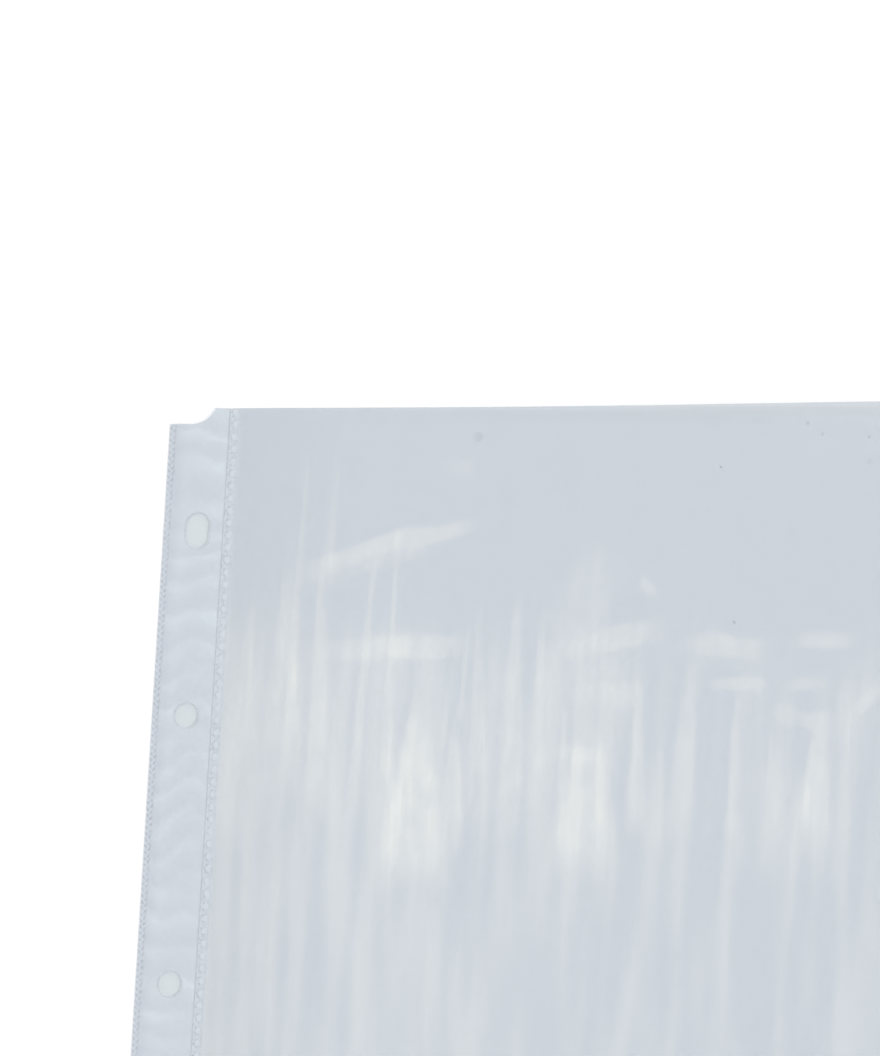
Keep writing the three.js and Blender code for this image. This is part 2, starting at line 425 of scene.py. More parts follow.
def crease_effect(x, y):
    """The height in metres and the painted sheen that the creases give one place of the front film"""
    sway, slip = 0.8, 1.2
    place_x = x / MM + sway * film_noise(x, y, CREASE_SWAY)
    place_y = y / MM + slip * film_noise(x, y, CREASE_SLIP)
    peak_skew, peak_sharpness = 0.6, 1.5
    rise_end, fall_start, side_fall_start = 0.3, 0.6, 0.5
    height = sheen = 0
    for crease in SEAM_PUCKERS + FLAMES + SMEARS:
        foot_x, foot_y = crease.foot
        run_x, run_y = crease.tip[0] - foot_x, crease.tip[1] - foot_y
        length = math.hypot(run_x, run_y)
        along = ((place_x - foot_x) * run_x + (place_y - foot_y) * run_y) / length**2
        if not 0 < along < 1:
            continue
        side = abs((place_x - foot_x) * run_y - (place_y - foot_y) * run_x) / length
        across = side / (crease.width / 2 * (1 - crease.taper * along))
        if across < 1:
            rise = math.sin(math.pi * along**peak_skew) ** peak_sharpness
            height += crease.height * cosine_bump(across) * rise
            ends = smooth_step(along, 0, rise_end) * (1 - smooth_step(along, fall_start, 1))
            sides = 1 - smooth_step(across, side_fall_start, 1)
            sheen += crease.sheen * ends * sides * (0.7 + 0.4 * across**2)
    clouds = 0.6 * film_noise(x, y, SHEEN_CLOUDS)
    streaks = 0.35 * film_noise(x, y, SHEEN_STREAKS)
    return height * MM, sheen * (1 + clouds + streaks)


def streak_zone(x, y):
    """1 where the film is rippled, below a wavering line that falls away from the seam, else 0"""
    start, fall, waver = 60 * MM, 0.06, 6 * MM
    fade_below, fade_above = 16 * MM, 6 * MM
    line = start - fall * (x - SEAM_X) + waver * film_noise(x, y, STREAK_END)
    return 1 - smooth_step(y, line - fade_below, line + fade_above)


def ripples(x, y):
    """Ripples that run from the foot towards the mouth and die out before it"""
    drift = 3 * MM
    x += drift * film_noise(x, y, RIPPLE_DRIFT)
    broad = 0.12 * MM * film_noise(x, y, BROAD_RIPPLES)
    fine = 0.02 * MM * film_noise(x, y, FINE_RIPPLES)
    sway = 0.10 * MM * film_noise(x, y, SWAYING_RIPPLES)
    calm_share = 0.08
    return (broad + fine + sway) * (calm_share + (1 - calm_share) * streak_zone(x, y))


def film_lift(x, y, shape):
    """How far the front film lies above the back film, with its creases and ripples"""
    slope_by_seam, slope_elsewhere = 16 * MM, 20 * MM
    clear_of_welds = min(
        smooth_step(x, BACK_FILM_LOW.x + shape.seam_weld_width, SEAM_X + slope_by_seam),
        1 - smooth_step(x, FAR_X - slope_elsewhere, FAR_X - shape.far_weld_width),
        smooth_step(y, FOOT_Y + shape.foot_weld_width, FOOT_Y + slope_elsewhere),
    )
    rest = 0.2 * MM
    crease_height, _ = crease_effect(x, y)
    return crown(x, y, shape) + max(0, rest + crease_height + ripples(x, y)) * clear_of_welds


def front_film_mesh(shape):
    """The pocket's front film from the seam weld to the far edge, finest where it is puckered"""
    bottom = BACK_FILM_HIGH.z + SKIN_GAP
    left = BACK_FILM_LOW.x + shape.seam_weld_width + END_GAP
    puckered_end, creased_end = -50 * MM, 32 * MM
    creased_foot, creased_top = 2 * MM, 84 * MM
    grid_across, grid_along = 1.6 * shape.fine_grid, 1.5 * shape.fine_grid
    x_lines = even_lines(left, puckered_end, shape.fine_grid)[:-1]
    x_lines += even_lines(puckered_end, creased_end, grid_across)[:-1]
    x_lines += even_lines(creased_end, FAR_X, shape.coarse_grid)
    y_lines = even_lines(FOOT_Y, creased_foot, shape.coarse_grid)[:-1]
    y_lines += even_lines(creased_foot, creased_top, grid_along)[:-1]
    y_lines += even_lines(creased_top, MOUTH_Y, shape.coarse_grid)

    def mark(x, y):
        # Painted highlight over the rippled lower half, strongest by the seam, standing in for the windows'
        # reflection, with the creases' painted sheen on top
        by_seam, loss, loss_end, wander = 0.14, 0.09, 20 * MM, 0.20
        haze = by_seam - loss * smooth_step(x, SEAM_X, loss_end) + wander * film_noise(x, y, STREAK_SHEEN_WANDER)
        _, sheen = crease_effect(x, y)
        return min(1, sheen + haze * streak_zone(x, y))

    mesh = sheet_mesh(
        "front_film_sheet", x_lines, y_lines,
        lambda x, y: bottom + film_lift(x, y, shape), lambda x, y: FILM_THICKNESS, mark,
    )
    open_joint(mesh, left)
    return mesh


# The seam weld

def pad_distance(x, y, weld, middle):
    """How far a point is from the nearest pad's middle, 1 on the pad's rim, and how far across the seam"""
    cell = (y / weld.pad_pitch) % 1 - 0.5
    across = (x - middle) / (weld.pad_width / 2)
    return math.hypot(across, cell * weld.pad_pitch / (weld.pad_length / 2)), across


def seam_weld_mesh(shape, weld):
    """The film between strip and pocket, pressed down round its row of pads"""
    left = BACK_PLY_HIGH.x + END_GAP
    right = BACK_FILM_LOW.x + shape.seam_weld_width - END_GAP
    middle = BACK_FILM_LOW.x + shape.seam_weld_width / 2
    bottom = BACK_FILM_HIGH.z + SKIN_GAP
    grid_across, grid_along = 0.16 * MM, 0.24 * MM
    fold_depth, fold_reach = 0.08 * MM, 0.35 * MM
    fold_line, fold_line_reach = SEAM_X + 0.3 * MM, 0.4 * MM

    def thickness(x, y):
        distance, _ = pad_distance(x, y, weld, middle)
        pad_top, pad_foot = 0.8, 1.1
        pressed = smooth_step(distance, pad_top, pad_foot)
        fold = fold_depth * cosine_bump((x - SEAM_X) / fold_reach)
        return FILM_THICKNESS - weld.press_depth * pressed - fold

    def mark(x, y):
        # Painted shade round each pad's rim, most on the strip's side, fainter between the pads and broken
        # along the fold
        distance, across = pad_distance(x, y, weld, middle)
        rim_reach, between_pads = 0.4, 0.3
        rim = cosine_bump((distance - 1) / rim_reach) * (0.3 + 0.7 * smooth_step(-across, -0.3, 0.6))
        ground = between_pads * smooth_step(distance, 0.9, 1.2)
        broken = smooth_step(edge_noise(y, length=1.2, seed=3.1), -0.05, 0.3)
        fold = (0.04 + 0.76 * broken) * cosine_bump((x - fold_line) / fold_line_reach)
        wander = 0.75 + 0.5 * edge_noise(y, length=7, seed=1.7)
        return min(1, max(rim, ground, fold) * wander)

    x_lines = even_lines(left, right, grid_across)
    y_lines = even_lines(FOOT_Y, MOUTH_Y, grid_along)
    mesh = sheet_mesh("seam_weld", x_lines, y_lines, lambda x, y: bottom, thickness, mark)
    open_joint(mesh, left)
    open_joint(mesh, right)
    return mesh


# The binding strip

def across_strip(x, strip):
    """Where x lies between the strip's two welds, from 0 at the outer one to 1 at the seam"""
    start = STRIP_LEFT + strip.outer_weld_width
    end = BACK_PLY_HIGH.x - strip.seam_width
    return min(max((x - start) / (end - start), 0), 1)


def strip_ripple(x, y, strip):
    """The ripples across the strip, 0 in a trough and 1 on a crest: each rises slowly and falls off short"""
    strength = 0.75 + 0.7 * film_noise(x, y, STRIP_STRENGTH)
    turn = (y / strip.ripple_pitch + 0.9 * film_noise(x, y, STRIP_DRIFT)) % 1
    crest = 0.72
    return min(1, strength * smooth_step(turn, 0, crest) * (1 - smooth_step(turn, crest, 1)))


def strip_bow(x, y, strip, puckers):
    """How far the strip's upper ply stands off the lower one, with its ripples and puckers"""
    share = across_strip(x, strip)
    plateau = 1 - abs(2 * share - 1) ** 3
    lift = strip.bow * plateau + strip.ripple_height * strip_ripple(x, y, strip) * math.sin(math.pi * share)
    end = BACK_PLY_HIGH.x - strip.seam_width
    half_width = 1.6 * MM
    for centre, length, height in puckers:
        aside = (y - centre) / half_width
        inward = (end - x) / length
        if abs(aside) < 1 and 0 < inward < 1:
            lift += height * cosine_bump(aside) * math.sin(math.pi * inward**0.6)
    return lift


def seam_puckers(seed):
    """Small puckers in the strip beside the seam: each its place along it, length and height"""
    draw = random.Random(seed)
    puckers = []
    end_gap = 6 * MM
    place = FOOT_Y + end_gap
    while place < MOUTH_Y - end_gap:
        puckers.append((place, draw.uniform(3.5, 7.5) * MM, draw.uniform(0.04, 0.12) * MM))
        place += draw.uniform(4.5, 9) * MM
    return puckers


def ring_holes(strip):
    """Middle and length of each ring hole along the strip"""
    inner = strip.middle_spacing / 2
    outer = inner + strip.end_spacing
    return (
        (-outer, strip.slot_length),
        (-inner, strip.hole_diameter),
        (inner, strip.hole_diameter),
        (outer, strip.slot_length),
    )


def slot_cutter(bm, x, y, diameter, length, low, high):
    """A round-ended slot through the strip, along Y"""
    made = bmesh.ops.create_cone(
        bm, cap_ends=True, segments=64, radius1=diameter / 2, radius2=diameter / 2, depth=high - low
    )
    bmesh.ops.translate(bm, verts=made["verts"], vec=(x, y, (low + high) / 2))
    for vert in made["verts"]:
        vert.co.y += math.copysign((length - diameter) / 2, vert.co.y - y)


def notch_cutter(bm, strip, end_y, inward, low, high):
    """The cut-away at one end: a block along the outer edge and a round beside it. inward is 1 or -1."""
    sweep = math.acos(1 - strip.notch_depth / strip.notch_radius)
    past = 2 * MM
    corner_x = STRIP_LEFT + strip.notch_flat
    reach = strip.notch_radius * math.sin(sweep)
    outline = [
        (STRIP_LEFT - past, end_y - inward * past),
        (STRIP_LEFT - past, end_y + inward * strip.notch_depth),
    ]
    centre_y = end_y + inward * (strip.notch_depth - strip.notch_radius)
    steps = 24
    for i in range(steps + 1):
        angle = sweep * i / steps
        outline.append((
            corner_x + strip.notch_radius * math.sin(angle),
            centre_y + inward * strip.notch_radius * math.cos(angle),
        ))
    outline.append((corner_x + reach, end_y - inward * past))
    verts = [bm.verts.new((x, y, low)) for x, y in outline]
    face = bm.faces.new(verts)
    made = bmesh.ops.extrude_face_region(bm, geom=[face], use_keep_orig=True)
    top = [v for v in made["geom"] if isinstance(v, bmesh.types.BMVert)]
    bmesh.ops.translate(bm, verts=top, vec=(0, 0, high - low))


def cut_away(piece, bm):
    """Cuts the closed shapes in bm out of a piece"""
    bmesh.ops.recalc_face_normals(bm, faces=bm.faces[:])
    cutter = bpy.data.objects.new("cutter", finished_mesh(bm, "cutter"))
    bpy.context.scene.collection.objects.link(cutter)
    boolean = piece.modifiers.new("punch", "BOOLEAN")
    boolean.operation = "DIFFERENCE"
    boolean.solver = "EXACT"
    boolean.object = cutter
    graph = bpy.context.evaluated_depsgraph_get()
    punched = bpy.data.meshes.new_from_object(piece.evaluated_get(graph))
    piece.modifiers.remove(boolean)
    bpy.data.objects.remove(cutter)
    bm = bmesh.new()
    bm.from_mesh(punched)
    piece.data = finished_mesh(bm, piece.name)
    for material in punched.materials:
        piece.data.materials.append(material)
    bpy.data.meshes.remove(punched)


def cut_notches(piece, strip):
    """Cuts the strip's outline at both ends out of a piece"""
    bm = bmesh.new()
    low, high = cutter_reach()
    notch_cutter(bm, strip, MOUTH_Y, -1, low, high)
    notch_cutter(bm, strip, FOOT_Y, 1, low, high)
    cut_away(piece, bm)


def punch_holes(piece, strip):
    """Punches the ring holes through a piece"""
    bm = bmesh.new()
    low, high = cutter_reach()
    for y, length in ring_holes(strip):
        slot_cutter(bm, STRIP_LEFT + strip.hole_to_edge, y, strip.hole_diameter, length, low, high)
    cut_away(piece, bm)


def cutter_reach():
    """The heights between which a cutter clears the whole strip"""
    return -1 * MM, FRONT_PLY_HIGH.z + 1 * MM


def strip_sheet_mesh(strip):
    """The strip's bowed upper ply between its two welds, before it is notched and punched"""
    puckers = seam_puckers(strip.pucker_seed)
    bottom = BACK_PLY_HIGH.z + SKIN_GAP
    left = STRIP_LEFT + strip.outer_weld_width + END_GAP
    grid_across, grid_along = 0.45 * MM, 0.7 * MM
    return sheet_mesh(
        "strip_front_sheet",
        even_lines(left, BACK_PLY_HIGH.x, grid_across),
        even_lines(FOOT_Y, MOUTH_Y, grid_along),
        lambda x, y: bottom + strip_bow(x, y, strip, puckers),
        lambda x, y: PLY_THICKNESS,
        # Painted highlight, brighter towards the seam and on the ripples' crests
        lambda x, y: 0.3 * across_strip(x, strip) + 0.9 * strip_ripple(x, y, strip) ** 1.5,
    )


def pit_depth_share(x, y, strip, weld):
    """How deep a point lies in the two rows of slanted pits, from 0 to 1"""
    deepest = 0
    rows = 2
    soft_reach = 1.4
    spacing = strip.outer_weld_width / rows
    for row in range(rows):
        slant = weld.pit_slant * (1 if row % 2 == 0 else -1)
        middle = STRIP_LEFT + spacing * (row + 0.5)
        cell = ((y / weld.pit_pitch + row / 2) % 1 - 0.5) * weld.pit_pitch
        for shift in (-weld.pit_pitch, 0, weld.pit_pitch):
            dx, dy = x - middle, cell + shift
            across = dx * math.cos(slant) + dy * math.sin(slant)
            along = dy * math.cos(slant) - dx * math.sin(slant)
            distance = math.hypot(across / (weld.pit_width / 2), along / (weld.pit_length / 2))
            deepest = max(deepest, cosine_bump(distance / soft_reach))
    return deepest


def edge_weld_mesh(strip, weld):
    """The band along the strip's outer edge, with its slanted pits"""
    bottom = BACK_PLY_HIGH.z + SKIN_GAP
    right = STRIP_LEFT + strip.outer_weld_width
    end_y = MOUTH_Y - strip.notch_depth
    border_reach = 0.45 * MM
    grid_across, grid_along = 0.15 * MM, 0.19 * MM

    def thickness(x, y):
        return PLY_THICKNESS - weld.pit_depth * pit_depth_share(x, y, strip, weld)

    def mark(x, y):
        # Painted shade in the pits and along the line where the upper ply leaves the weld
        pit = pit_depth_share(x, y, strip, weld)
        broken = smooth_step(edge_noise(y, length=1.3, seed=3.1, row=7.3), -0.15, 0.3)
        border = (0.15 + 0.75 * broken) * cosine_bump((x - right) / border_reach)
        wander = 0.8 + 0.6 * edge_noise(y, length=9, seed=1.7, row=4.2)
        return min(1, max(pit, border) * wander)

    x_lines = even_lines(STRIP_LEFT, right, grid_across)
    y_lines = even_lines(-end_y, end_y, grid_along)
    mesh = sheet_mesh("edge_weld", x_lines, y_lines, lambda x, y: bottom, thickness, mark)
    open_joint(mesh, right)
    return mesh


# Materials

class Tree:
    """The nodes of a material or the sky. An input of add() is a plain value, or the socket that feeds it."""

    def __init__(self, owner):
        owner.use_nodes = True
        self.owner = owner
        self.tree = owner.node_tree
        self.tree.nodes.clear()

    def add(self, kind, inputs=None, **settings):
        """A new node of this kind, with its inputs and settings"""
        node = self.tree.nodes.new(kind)
        for key, value in settings.items():
            setattr(node, key, value)
        for key, value in (inputs or {}).items():
            if isinstance(value, bpy.types.NodeSocket):
                self.tree.links.new(value, node.inputs[key])
            else:
                node.inputs[key].default_value = value
        return node

    def math(self, operation, *values):
        """The result of a sum on values and sockets"""
        return self.add("ShaderNodeMath", dict(enumerate(values)), operation=operation).outputs[0]

    def spread(self, value, low, high, to_low=0.0, to_high=1.0):
        """value from low to high, taken to the range from to_low to to_high and held there"""
        limits = {"Value": value, "From Min": low, "From Max": high, "To Min": to_low, "To Max": to_high}
        return self.add("ShaderNodeMapRange", limits).outputs[0]

    def blend(self, share, first, second):
        """A colour between two: first at share 0, second at 1"""
        return self.add("ShaderNodeMix", {0: share, 6: first, 7: second}, data_type="RGBA").outputs[2]

    def finish(self, shader, output="ShaderNodeOutputMaterial"):
        """Shows the shader, and gives back the material or sky"""
        self.add(output, {"Surface": shader})
        return self.owner


def with_alpha(colour):
    """A colour with its fourth value, as a colour socket takes it"""
    return (*colour, 1)


def stretched_noise(tree, stretch, scale, detail):
    """Noise on the piece's own coordinates, drawn out where stretch is small"""
    place = tree.add("ShaderNodeTexCoord").outputs["Object"]
    drawn_out = tree.add("ShaderNodeMapping", {"Vector": place, "Scale": stretch}).outputs[0]
    grain = {"Vector": drawn_out, "Scale": scale, "Detail": detail}
    return tree.add("ShaderNodeTexNoise", grain).outputs["Fac"]


def object_axes(tree):
    """A point's place on the piece, as the sockets X, Y and Z"""
    place = tree.add("ShaderNodeTexCoord").outputs["Object"]
    return tree.add("ShaderNodeSeparateXYZ", {0: place}).outputs


def cut_edge_mask(tree, seam_clearance=1 * MM):
    """1 on a cut edge of the film, 0 on its faces and at the seam, where the film runs on"""
    normal = tree.add("ShaderNodeTexCoord").outputs["Normal"]
    upright = tree.add("ShaderNodeSeparateXYZ", {0: normal}).outputs["Z"]
    away = tree.math("ABSOLUTE", tree.math("SUBTRACT", object_axes(tree)["X"], SEAM_X))
    edge = tree.math("LESS_THAN", tree.math("ABSOLUTE", upright), 0.5)
    return tree.math("MULTIPLY", edge, tree.math("GREATER_THAN", away, seam_clearance))


def mouth_band_shade_mask(tree, width=0.01 * MM, lift_share=0.157):
    """1 in a band of painted shade along the mouth: narrow, and wider where the film stands off"""
    along = object_axes(tree)
    start = tree.math("MULTIPLY_ADD", along["Z"], -lift_share, MOUTH_Y - width)
    return tree.math("GREATER_THAN", along["Y"], start)


def film_shade_mask(tree):
    """How much the front film is shaded: by the seam, and by the mouth where it stands off"""
    along = object_axes(tree)
    seam_reach, seam_shade = 36 * MM, 0.32
    by_seam = tree.spread(along["X"], SEAM_X + seam_reach, SEAM_X, 0, seam_shade)
    shade_start, shade_full, mouth_shade = 5 * MM, 1 * MM, 0.85
    by_mouth = tree.spread(along["Y"], MOUTH_Y - shade_start, MOUTH_Y - shade_full, 0, mouth_shade)
    low, high, low_share = 0.5 * MM, 5 * MM, 0.1
    raised = tree.spread(along["Z"], low, high, low_share, 1)
    return tree.math("MAXIMUM", by_seam, tree.math("MULTIPLY", by_mouth, raised))


def distance_to_slot(tree, aside, up, middle, straight):
    """How far a point is from the middle line of a slot whose straight sides are this long"""
    away = tree.math("ABSOLUTE", tree.math("SUBTRACT", up, middle))
    past = tree.math("MAXIMUM", tree.math("SUBTRACT", away, straight / 2), 0)
    squares = tree.math("ADD", tree.math("MULTIPLY", past, past), tree.math("MULTIPLY", aside, aside))
    return tree.math("SQRT", squares)


def hole_rim_mask(tree, strip, width=0.5 * MM):
    """How much the punched rim of a ring hole shades the strip: most on the side towards the pocket"""
    along = object_axes(tree)
    aside = tree.math("SUBTRACT", along["X"], STRIP_LEFT + strip.hole_to_edge)
    up = tree.math("ABSOLUTE", along["Y"])
    hole, slot = [
        distance_to_slot(tree, aside, up, middle, length - strip.hole_diameter)
        for middle, length in ring_holes(strip)[2:]
    ]
    radius = strip.hole_diameter / 2
    rim = tree.spread(tree.math("MINIMUM", hole, slot), radius + width, radius + width / 2)
    far_side_share = 0.15
    return tree.math("MULTIPLY", rim, tree.spread(aside, -radius, radius, far_side_share, 1))


def speck_mask(tree, x, y, radius):
    """1 inside a round speck of dust, given in millimetres, fading to 0 at its radius"""
    place = tree.add("ShaderNodeTexCoord").outputs["Object"]
    flat = tree.add("ShaderNodeVectorMath", {0: place, 1: (1, 1, 0)}, operation="MULTIPLY").outputs[0]
    away = tree.add("ShaderNodeVectorMath", {0: flat, 1: (x * MM, y * MM, 0)}, operation="DISTANCE")
    return tree.spread(away.outputs["Value"], radius * MM, 0.4 * radius * MM)


def gloss_share(tree, normal, facing_share=0.039):
    """How much a face of the film mirrors: its share head on, rising towards a grazing view"""
    facing = tree.add("ShaderNodeLayerWeight", {"Blend": 0.5, "Normal": normal}).outputs["Facing"]
    rise = tree.math("POWER", facing, 5.0)
    return tree.math("MULTIPLY_ADD", rise, 1 - facing_share, facing_share)


def let_light_on(tree, share):
    """The share for what is seen. Haze scatters most light onwards, so light on its way loses only a part."""
    light_path = tree.add("ShaderNodeLightPath").outputs
    on_its_way = tree.math("MAXIMUM", light_path["Is Shadow Ray"], light_path["Is Diffuse Ray"])
    lost_share = 0.15
    return tree.math("MULTIPLY", share, tree.spread(on_its_way, 0, 1, 1, lost_share))


class Surface(NamedTuple):
    """What sets one film apart: its tint and haze, its gloss, and how its marks of painted highlight or
    painted shade look
    """

    tint: tuple
    haze_colour: tuple
    haze: float
    roughness: float
    mark_colour: tuple = (0, 0, 0)
    mark_share: float = 0.0
    mark_stretch: tuple = (1, 1, 1)
    mark_scale: float = 900.0
    mark_mottle: tuple = (0.35, 1.5)
    mark_clears: bool = False


class FilmBody:
    """A film without its gloss, as sockets: the share that scatters, its colour, and the rest's tint"""

    def __init__(self, tree, share, colour, tint):
        self.tree = tree
        self.share = share
        self.colour = with_alpha(colour)
        self.tint = with_alpha(tint)

    def shade(self, mask, tint):
        """Gives the clear part another tint where the mask is 1"""
        self.tint = self.tree.blend(mask, self.tint, with_alpha(tint))

    def cover(self, mask, share, colour):
        """Makes at least this share scatter, in this colour, where the mask is 1"""
        self.share = self.tree.math("MAXIMUM", self.share, self.tree.math("MULTIPLY", mask, share))
        self.colour = self.tree.blend(mask, self.colour, with_alpha(colour))

    def lay_marks(self, surface, full_colour_at=0.15):
        """Adds the painted highlight or painted shade that the vertex attribute holds, mottled"""
        tree = self.tree
        mottle = stretched_noise(tree, surface.mark_stretch, surface.mark_scale, detail=2)
        noise_low, noise_high = 0.38, 0.62
        mottle = tree.spread(mottle, noise_low, noise_high, *surface.mark_mottle)
        attribute = tree.add("ShaderNodeAttribute", attribute_name=MARK).outputs["Fac"]
        mark = tree.math("MULTIPLY", attribute, mottle)
        self.share = tree.math("MULTIPLY_ADD", mark, surface.mark_share, self.share)
        coloured = tree.spread(mark, 0, full_colour_at)
        self.colour = tree.blend(coloured, self.colour, with_alpha(surface.mark_colour))
        # On the front film the painted highlight also lets more light through
        if surface.mark_clears:
            self.shade(mark, (1, 1, 1))

    def shader(self):
        """The film as one shader: clear, and matt for the share that scatters"""
        clear = self.tree.add("ShaderNodeBsdfTransparent", {"Color": self.tint}).outputs[0]
        matt = {"Base Color": self.colour, "Roughness": 0.7, "Specular IOR Level": 0.0}
        body = self.tree.add("ShaderNodeBsdfPrincipled", matt).outputs[0]
        share = let_light_on(self.tree, self.share)
        return self.tree.add("ShaderNodeMixShader", {0: share, 1: clear, 2: body}).outputs[0]


# How much painted shade the cut edges, the band along the mouth and the ring holes' rims take, as the share
# of the film that scatters it. On a face the share stays under 0.25, because the denoiser draws a crackled
# outline round a stronger mark.
CUT_EDGE_SHARE = 0.35
MOUTH_BAND_SHADE_SHARE = 0.09
HOLE_RIM_SHARE = 0.24

# What the front film lets through in its band of painted shade at the mouth, and the share of its tint left
# in full shade
MOUTH_BAND_SHADE_TINT = (0.85, 0.87, 0.89)
FILM_SHADE = 0.955


def film_material(name, surface, edge_shade_and_dust, specks=(), punched=None):
    """Clear film: tinted and see-through, with a faint haze and soft gloss, painted shade on its cut edges,
    along the mouth and round the ring holes, its painted marks and its dust
    """
    tree = Tree(bpy.data.materials.new(name))
    clouds = stretched_noise(tree, (1, 1, 1), scale=22, detail=2)
    draw_lines = stretched_noise(tree, (1, 0.06, 1), scale=260, detail=2)
    even_part, cloud_part, line_part = 0.55, 0.5, 0.3
    cloudy = tree.math("MULTIPLY_ADD", clouds, cloud_part * surface.haze, even_part * surface.haze)
    haze = tree.math("MULTIPLY_ADD", draw_lines, line_part * surface.haze, cloudy)
    body = FilmBody(tree, haze, surface.haze_colour, surface.tint)
    if surface.mark_share:
        body.lay_marks(surface)
    # Painted shade in a band along the mouth, wider where the front film stands off
    mouth_band_shade = mouth_band_shade_mask(tree)
    if surface.mark_clears:
        body.shade(film_shade_mask(tree), [FILM_SHADE * value for value in surface.tint])
        body.shade(mouth_band_shade, MOUTH_BAND_SHADE_TINT)
    # Painted shade on the cut edges, in the band along the mouth and round the ring holes, darkest on the
    # side towards the pocket; then the dust
    body.cover(cut_edge_mask(tree), CUT_EDGE_SHARE, edge_shade_and_dust)
    body.cover(mouth_band_shade, MOUTH_BAND_SHADE_SHARE, edge_shade_and_dust)
    if punched:
        body.cover(hole_rim_mask(tree, punched), HOLE_RIM_SHARE, edge_shade_and_dust)
    for x, y, radius, density in specks:
        body.cover(speck_mask(tree, x, y, radius), density, edge_shade_and_dust)
    return tree.finish(add_gloss(tree, body.shader(), surface, clouds, draw_lines))


def add_gloss(tree, film, surface, clouds, draw_lines):
    """The film's shader under a soft gloss, which follows its draw lines and a fine grain"""
    grain = stretched_noise(tree, (1, 1, 1), scale=900, detail=1)
    height = tree.math("ADD", draw_lines, grain)
    relief = {"Height": height, "Distance": 0.004 * MM, "Strength": 0.5}
    normal = tree.add("ShaderNodeBump", relief).outputs["Normal"]
    rough = tree.math("MULTIPLY_ADD", clouds, 0.08, surface.roughness - 0.04)
    mirror = {"Color": (1, 1, 1, 1), "Roughness": rough, "Normal": normal}
    gloss = tree.add("ShaderNodeBsdfAnisotropic", mirror).outputs[0]
    share = gloss_share(tree, normal)
    return tree.add("ShaderNodeMixShader", {0: share, 1: film, 2: gloss}).outputs[0]


def ray_is_seen(tree):
    """1 for what the camera sees, also in a mirror or through glass"""
    light_path = tree.add("ShaderNodeLightPath").outputs
    seen = tree.math("MAXIMUM", light_path["Is Camera Ray"], light_path["Is Glossy Ray"])
    return tree.math("MAXIMUM", seen, light_path["Is Transmission Ray"])


# The floor's own colour, and what the camera sees of it, which is just past white
FLOOR_COLOUR = (0.9, 0.9, 0.9)
FLOOR_SEEN = (1.08, 1.08, 1.08)


def floor_material(name, seen_colour):
    """A pale floor, with the colour that the eye sees and its plain one for the light it throws back"""
    tree = Tree(bpy.data.materials.new(name))
    colour = tree.blend(ray_is_seen(tree), with_alpha(FLOOR_COLOUR), with_alpha(seen_colour))
    return tree.finish(tree.add("ShaderNodeBsdfDiffuse", {"Color": colour}).outputs[0])


# Operators

class POCKET_OT_binding_strip(bpy.types.Operator):
    """Makes the strip's bowed upper ply and finishes its lower ply"""

    bl_idname = "pocket.binding_strip"
    bl_label = "Binding strip"

    def execute(self, context):
        strip = context.scene.pocket_strip
        finish = context.scene.pocket_finish
        surface = Surface(
            tint=finish.strip_tint, haze_colour=finish.strip_haze, haze=0.03, roughness=0.32,
            mark_colour=finish.strip_crest, mark_share=0.13, mark_stretch=(0.5, 1, 1), mark_scale=300,
            mark_mottle=(0.7, 1.3),
        )
        milky = film_material("strip_film_milky", surface, finish.edge_shade_and_dust, punched=strip)
        dress_node("strip_back_ply", milky)
        mesh = strip_sheet_mesh(strip)
        piece = add_piece("strip_front_sheet", mesh, milky, "strip_front_ply")
        cut_notches(piece, strip)
        punch_holes(piece, strip)
        open_joint(piece.data, STRIP_LEFT + strip.outer_weld_width + END_GAP)
        open_joint(piece.data, BACK_PLY_HIGH.x)
        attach(piece, "binding_strip")
        return {"FINISHED"}


class POCKET_OT_edge_weld(bpy.types.Operator):
    """Makes the pitted weld along the strip's outer edge"""

    bl_idname = "pocket.edge_weld"
    bl_label = "Edge weld"

    def execute(self, context):
        scene = context.scene
        finish = scene.pocket_finish
        surface = Surface(
            tint=finish.strip_tint, haze_colour=finish.strip_haze, haze=0.05, roughness=0.34,
            mark_colour=finish.weld_painted_shade, mark_share=0.17, mark_scale=1100,
        )
        welded = film_material("edge_weld_pitted", surface, finish.edge_shade_and_dust)
        mesh = edge_weld_mesh(scene.pocket_strip, scene.pocket_weld)
        piece = add_piece("edge_weld", mesh, welded, "strip_front_ply")
        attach(piece, "binding_strip")
        return {"FINISHED"}


class POCKET_OT_seam_weld(bpy.types.Operator):
    """Makes the knurled seam weld, which is also the fold between strip and pocket"""

    bl_idname = "pocket.seam_weld"
    bl_label = "Seam weld"

    def execute(self, context):
        scene = context.scene
        finish = scene.pocket_finish
        surface = Surface(
            tint=finish.weld_tint, haze_colour=finish.film_haze, haze=0.04, roughness=0.3,
            mark_colour=finish.weld_painted_shade, mark_share=0.17, mark_scale=1100,
        )
        welded = film_material("seam_weld_knurled", surface, finish.edge_shade_and_dust)
        mesh = seam_weld_mesh(scene.pocket_film, scene.pocket_weld)
        piece = add_piece("seam_weld", mesh, welded, "front_film")
        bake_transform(piece)
        return {"FINISHED"}


